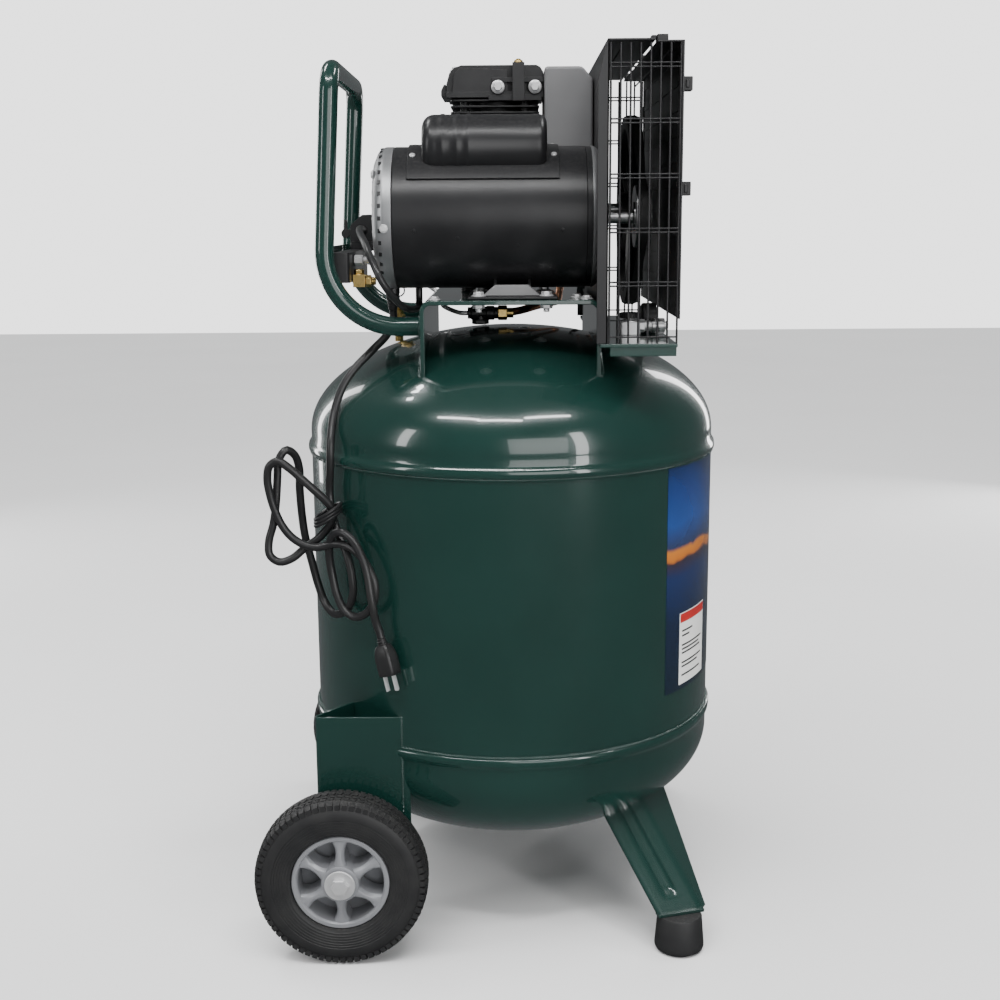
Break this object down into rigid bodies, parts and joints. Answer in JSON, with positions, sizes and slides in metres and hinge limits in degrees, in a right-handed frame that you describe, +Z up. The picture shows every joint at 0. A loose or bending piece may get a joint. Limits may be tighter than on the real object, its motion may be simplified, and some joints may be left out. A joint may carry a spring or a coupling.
{
  "type": "air compressor",
  "caption": "Upright tank compressor on two wheels and two feet, with a belt-driven piston pump, motor, wire belt guard and push handle.",
  "frame": {"origin": "on the floor, under the middle of the outline of wheels and tank", "axes": "+Z up the tank, +X to the belt guard and the feet, -Y to the side with the motor"},
  "size_m": [0.562, 0.5716, 1.054],
  "materials": {
    "green_paint": "gloss enamel",
    "black_paint": "satin powder coat",
    "dark_plastic": "satin moulded",
    "rubber": "matt",
    "tyre": "matt",
    "wheel_grey": "satin silver-grey",
    "zinc": "bright zinc plate",
    "steel": "machined",
    "cast_alloy": "as cast",
    "cast_black": "black painted casting",
    "brass": "machined",
    "copper": "drawn copper tube"
  },
  "bodies": {
    "compressor": {"air_filter": "dark_plastic", "air_shroud": "dark_plastic", "axle_bolt_far": "zinc", "axle_bolt_near": "zinc", "capacitor_cover": "black_paint", "check_valve": "cast_black", "control_manifold": "dark_plastic", "cord_drop": "rubber", "cord_hank": "rubber", "cord_tail": "rubber", "crankcase": "cast_black", "cylinder_barrel": "cast_black", "cylinder_head": "cast_black", "discharge_tube": "copper", "drain_valve_body": "brass", "drive_belt": "rubber", "front_leg_far": "green_paint", "front_leg_near": "green_paint", "gauge_body": "dark_plastic", "guard_back_pan": "black_paint", "guard_front_panel": "black_paint", "guard_wire_cage": "black_paint", "handle_cross_plate": "green_paint", "handle_tube": "green_paint", "motor_base": "black_paint", "motor_front_bell": "cast_alloy", "motor_lead": "rubber", "motor_rear_bell": "cast_alloy", "motor_shell": "black_paint", "motor_stator": "steel", "plug_blades": "brass", "plug_body": "rubber", "pressure_switch_cover": "dark_plastic", "regulator_body": "zinc", "rubber_foot_far": "rubber", "rubber_foot_near": "rubber", "saddle_plate": "green_paint", "safety_valve_body": "brass", "strain_relief": "rubber", "tank_bottom_head": "green_paint", "tank_shell": "green_paint", "tank_top_head": "green_paint", "unloader_tube": "cast_alloy", "wheel_bracket_far": "green_paint", "wheel_bracket_near": "green_paint"},
    "wheel_near": {"tyre_near": "tyre", "wheel_hub_near": "wheel_grey"},
    "wheel_far": {"tyre_far": "tyre", "wheel_hub_far": "wheel_grey"},
    "flywheel": {"flywheel": "cast_black", "crankshaft": "steel"},
    "rotor": {"motor_rotor": "steel", "motor_pulley": "steel"},
    "piston": {"piston": "cast_alloy"},
    "drain_handle": {"drain_valve_handle": "brass"},
    "switch_lever": {"switch_lever": "dark_plastic"},
    "regulator_knob": {"regulator_knob": "dark_plastic"},
    "coupler_sleeve": {"coupler_sleeve": "steel"},
    "gauge_needle": {"gauge_needle": "steel"},
    "safety_ring": {"safety_valve_ring": "zinc"}
  },
  "joints": [
    {"name": "wheel_near_spin", "type": "hinge", "parent": "compressor", "child": "wheel_near", "pos_m": [-0.179, -0.2525, 0.102], "axis": [0, 1, 0], "continuous": true},
    {"name": "wheel_far_spin", "type": "hinge", "parent": "compressor", "child": "wheel_far", "pos_m": [-0.179, 0.2525, 0.102], "axis": [0, 1, 0], "continuous": true},
    {"name": "flywheel_spin", "type": "hinge", "parent": "compressor", "child": "flywheel", "pos_m": [0.18, 0.09, 0.868], "axis": [1, 0, 0], "continuous": true},
    {"name": "motor_spin", "type": "hinge", "parent": "compressor", "child": "rotor", "pos_m": [0.18, -0.077, 0.861], "axis": [1, 0, 0], "continuous": true},
    {"name": "piston_stroke", "type": "slide", "parent": "compressor", "child": "piston", "axis": [0, 0, 1], "range_m": [0, 0.04]},
    {"name": "drain_turn", "type": "hinge", "parent": "compressor", "child": "drain_handle", "pos_m": [0.023, 0, 0.0665], "axis": [0, 0, 1], "range_deg": [0, 90]},
    {"name": "switch_flip", "type": "hinge", "parent": "compressor", "child": "switch_lever", "pos_m": [-0.19, 0.069, 0.842], "axis": [0, 1, 0], "range_deg": [-40, 0]},
    {"name": "regulator_turn", "type": "hinge", "parent": "compressor", "child": "regulator_knob", "pos_m": [0.165, -0.1, 0.745], "axis": [0, 0, 1], "range_deg": [-360, 360]},
    {"name": "coupler_slide", "type": "slide", "parent": "compressor", "child": "coupler_sleeve", "axis": [1, 0, 0], "range_m": [-0.006, 0], "stiffness_N_per_m": 400},
    {"name": "gauge_sweep", "type": "hinge", "parent": "compressor", "child": "gauge_needle", "pos_m": [0.198, -0.05, 0.7403], "axis": [1, 0, 0], "range_deg": [0, 270]},
    {"name": "safety_pull", "type": "slide", "parent": "compressor", "child": "safety_ring", "axis": [0, 0, 1], "range_m": [0, 0.004], "stiffness_N_per_m": 400}
  ],
  "couplings": [
    {"joint": "motor_spin", "follows": "flywheel_spin", "ratio": 3.7667}
  ]
}
